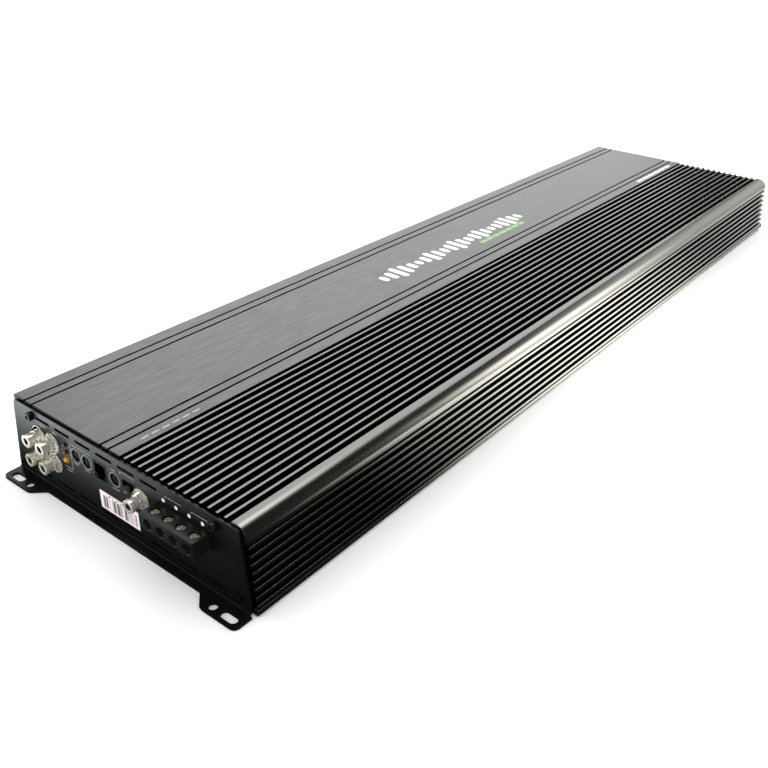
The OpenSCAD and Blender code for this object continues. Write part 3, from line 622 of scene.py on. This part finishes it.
clamps = ["speaker_%s_" + str(k) for k in range(1, 5)] + ["supply_%s", "ground_%s", "remote_%s"]
for clamp in clamps:
    screw = soften(clamp % "screw", clamp % "set_screw", 0.12 * MM)
    assign(screw, screw_nickel)
    ride_as(screw, clamp % "screw")
    assign(frame["nodes"][clamp % "pad"], pad_steel)


# Label. Pinkish-white paper stuck to the control panel and printed with plain bars and dashes,
# which stand for no text.
def random_cells(tree, cell, shift, over):
    """A mask of the numbered cells whose own noise is over a level."""
    number = math_node(tree, "ADD", cell, shift) if shift else cell
    noise = shader_node(tree, "ShaderNodeTexWhiteNoise", {"noise_dimensions": "1D"}, W=number)
    return math_node(tree, "GREATER_THAN", noise.outputs["Value"], over)


def cell_number(tree, value, size):
    return math_node(tree, "FLOOR", math_node(tree, "MULTIPLY", value, 1 / size))


label_paper, tree, output = new_material("label_paper")
surface = use_group(tree, fine_grain, Grain=2800.0, Mottle=60.0)
place = shader_node(tree, "ShaderNodeTexCoord")
split = shader_node(tree, "ShaderNodeSeparateXYZ", _0=place.outputs["Object"])
sideways, upward = split.outputs[1], split.outputs[2]
label_low, label_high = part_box("serial_label")
bars_across = (label_low.y + 1.6 * MM, label_high.y - 1.6 * MM)
bars_up = (label_low.z + 1.4 * MM, label_high.z - 2.6 * MM)
dashes_across = (label_low.y + 4 * MM, label_high.y - 8 * MM)
dashes_up = (label_high.z - 2.0 * MM, label_high.z - 0.9 * MM)
bars_on = random_cells(tree, cell_number(tree, sideways, 0.45 * MM), None, 0.42)
in_bars = math_node(tree, "MULTIPLY", between(tree, upward, *bars_up),
                    between(tree, sideways, *bars_across))
row_shift = math_node(tree, "MULTIPLY", cell_number(tree, upward, 1.2 * MM), 61.7)
dashes_on = random_cells(tree, cell_number(tree, sideways, 0.8 * MM), row_shift, 0.5)
in_dashes = math_node(tree, "MULTIPLY", between(tree, upward, *dashes_up),
                      between(tree, sideways, *dashes_across))
printed = math_node(tree, "MAXIMUM", math_node(tree, "MULTIPLY", bars_on, in_bars),
                    math_node(tree, "MULTIPLY", dashes_on, in_dashes))
paper_tone = mix_colour(tree, surface.outputs["Mottle"], (0.80, 0.70, 0.71),
                        (0.88, 0.79, 0.80))
label_tone = mix_colour(tree, printed, paper_tone, (0.16, 0.14, 0.15))
bump = shader_node(tree, "ShaderNodeBump", Strength=0.3, Distance=5e-6,
                   Height=surface.outputs["Grain"])
shader = shader_node(tree, "ShaderNodeBsdfPrincipled", Base_Color=label_tone,
                     Roughness=mix_value(tree, surface.outputs["Grain"], 0.4, 0.6),
                     Normal=bump.outputs[0])
tree.links.new(shader.outputs[0], output.inputs[0])
assign(frame["nodes"]["serial_label"], label_paper)


# Circuit boards. Green solder-masked boards on metal posts with plated screws, hidden inside
# the extrusion.
board_green, tree, output = new_material("board_green")
place = shader_node(tree, "ShaderNodeTexCoord")
tracks = shader_node(tree, "ShaderNodeTexBrick", Vector=place.outputs["Object"], Scale=90.0,
                     Mortar_Size=0.03, Color1=(0.006, 0.085, 0.035, 1),
                     Color2=(0.008, 0.11, 0.045, 1), Mortar=(0.02, 0.2, 0.08, 1))
surface = use_group(tree, fine_grain, Grain=1200.0, Mottle=40.0)
bump = shader_node(tree, "ShaderNodeBump", Strength=0.3, Distance=2e-5,
                   Height=tracks.outputs["Fac"])
shader = shader_node(tree, "ShaderNodeBsdfPrincipled", Base_Color=tracks.outputs["Color"],
                     Roughness=mix_value(tree, surface.outputs["Mottle"], 0.25, 0.4),
                     Normal=bump.outputs[0])
tree.links.new(shader.outputs[0], output.inputs[0])
post_steel = coated("post_steel", (0.5, 0.5, 0.48), (0.66, 0.66, 0.63), (0.25, 0.38),
                    metallic=1.0, lines=(2000.0, 2000.0))
for node in ("main_board", "control_board"):
    assign(frame["nodes"][node], board_green)
for node in ("board_standoffs", "board_screws", "control_board_posts"):
    assign(frame["nodes"][node], post_steel)


# Power parts. Sleeved capacitors, copper-wound toroids, and transistors held against the walls
# by aluminium bars on thermal pads.
winding, tree, output = new_material("copper_winding")
place = shader_node(tree, "ShaderNodeTexCoord")
turns = shader_node(tree, "ShaderNodeTexWave", {"bands_direction": "DIAGONAL"},
                    Vector=place.outputs["Object"], Scale=170.0, Distortion=2.0, Detail=1.0)
bump = shader_node(tree, "ShaderNodeBump", Strength=0.7, Distance=2e-4,
                   Height=turns.outputs["Fac"])
copper_tone = mix_colour(tree, turns.outputs["Fac"], (0.28, 0.09, 0.03), (0.62, 0.27, 0.1))
shader = shader_node(tree, "ShaderNodeBsdfPrincipled", Base_Color=copper_tone, Metallic=1.0,
                     Roughness=mix_value(tree, turns.outputs["Fac"], 0.4, 0.25),
                     Normal=bump.outputs[0])
tree.links.new(shader.outputs[0], output.inputs[0])
sleeve = coated("capacitor_sleeve", (0.008, 0.010, 0.03), (0.016, 0.018, 0.05), (0.2, 0.32),
                grain=900.0, mottle=70.0, coat=0.4)
epoxy = coated("transistor_epoxy", (0.012, 0.012, 0.012), (0.024, 0.024, 0.024), (0.4, 0.55),
               grain=2000.0, mottle=150.0)
thermal_pad = coated("thermal_pad", (0.3, 0.3, 0.28), (0.42, 0.42, 0.39), (0.7, 0.85),
                     grain=1500.0, mottle=90.0)
bar_metal = coated("bar_aluminium", (0.42, 0.42, 0.43), (0.6, 0.6, 0.61), (0.3, 0.45),
                   metallic=1.0, lines=(1800.0, 30.0))
for node, material in (("supply_capacitors", sleeve), ("rail_capacitors", sleeve),
                       ("transformers", winding), ("output_coils", winding),
                       ("power_transistors", epoxy), ("transistor_pads", thermal_pad),
                       ("clamp_bars", bar_metal), ("clamp_screws", post_steel)):
    assign(frame["nodes"][node], material)
